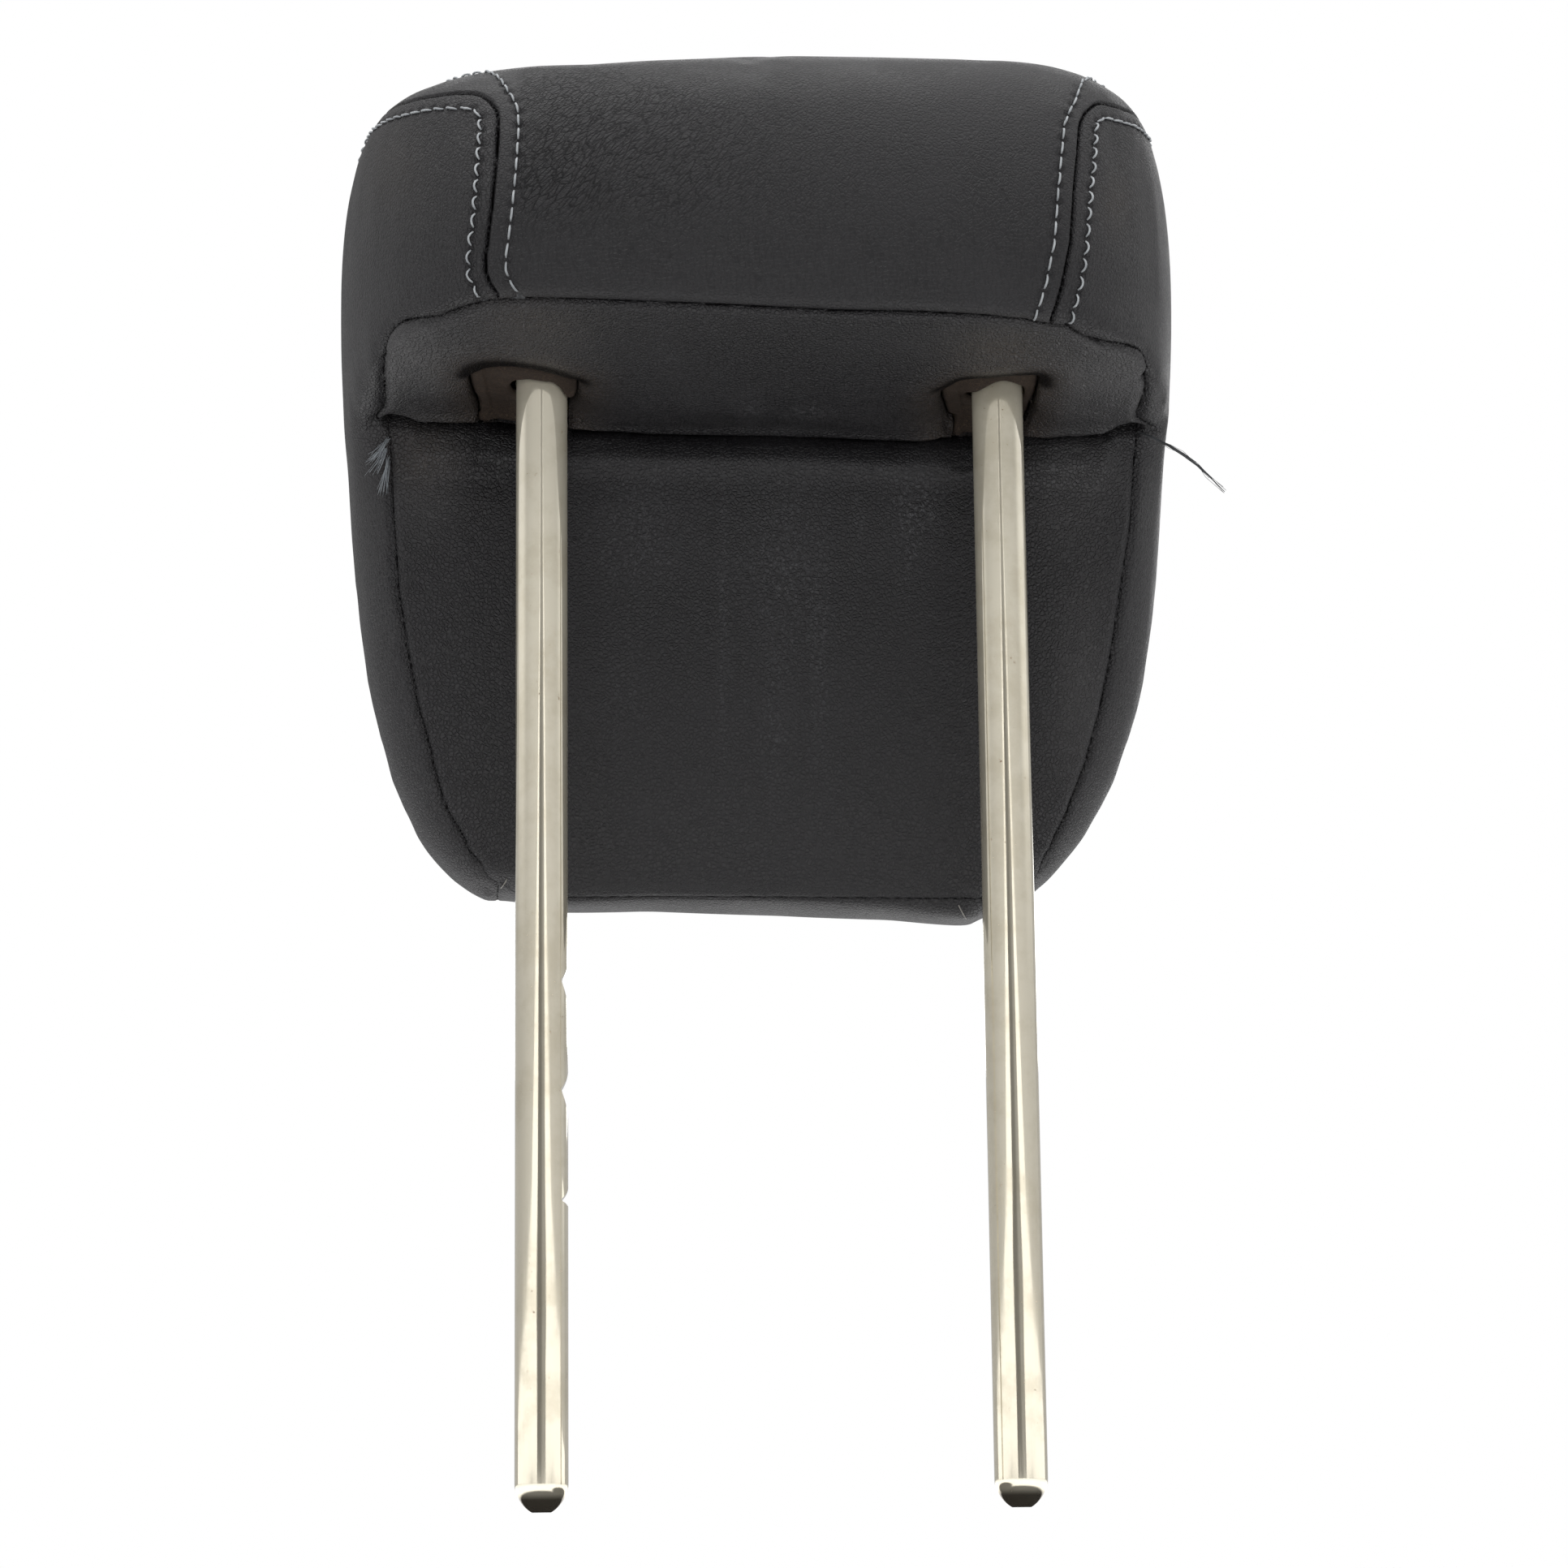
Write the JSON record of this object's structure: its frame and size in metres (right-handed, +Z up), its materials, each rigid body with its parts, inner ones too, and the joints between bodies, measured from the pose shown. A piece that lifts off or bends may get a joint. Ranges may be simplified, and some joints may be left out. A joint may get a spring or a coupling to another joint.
{
  "type": "car headrest",
  "caption": "L-shaped rear-seat headrest: a thick leather-covered block with a hanging front flap, on two notched plated steel posts.",
  "frame": {"origin": "midway between the two post tips, on the plane of their flats", "axes": "+Z up along the posts, +Y towards the front face that the head rests on, +X to the right as seen from behind"},
  "size_m": [0.236, 0.14, 0.3935],
  "materials": {
    "plated_steel": "warm nickel plating, polished",
    "moulded_plastic": "black, as moulded",
    "screw_steel": "zinc plated",
    "foam": "moulded polyurethane foam, cream",
    "seam_tape": "woven backing tape",
    "leather": "black grained leather, semi-matt, worn",
    "slot_lining": "brownish black felt"
  },
  "bodies": {
    "root": {"post_frame": "plated_steel", "carrier_front": "moulded_plastic", "carrier_rear": "moulded_plastic", "carrier_screw_1": "screw_steel", "carrier_screw_2": "screw_steel", "carrier_screw_3": "screw_steel", "carrier_screw_4": "screw_steel", "foam_core": "foam", "seam_tape_left": "seam_tape", "seam_tape_right": "seam_tape", "cover_centre_panel": "leather", "cover_front_panel": "leather", "cover_side_left": "leather", "cover_side_right": "leather", "cover_underside_panel": "leather", "cover_flap_rear_panel": "leather", "cover_bottom_band": "leather", "slot_liner_left": "slot_lining", "slot_liner_right": "slot_lining", "closing_strip_upper": "moulded_plastic", "closing_strip_lower": "moulded_plastic"}
  },
  "joints": []
}
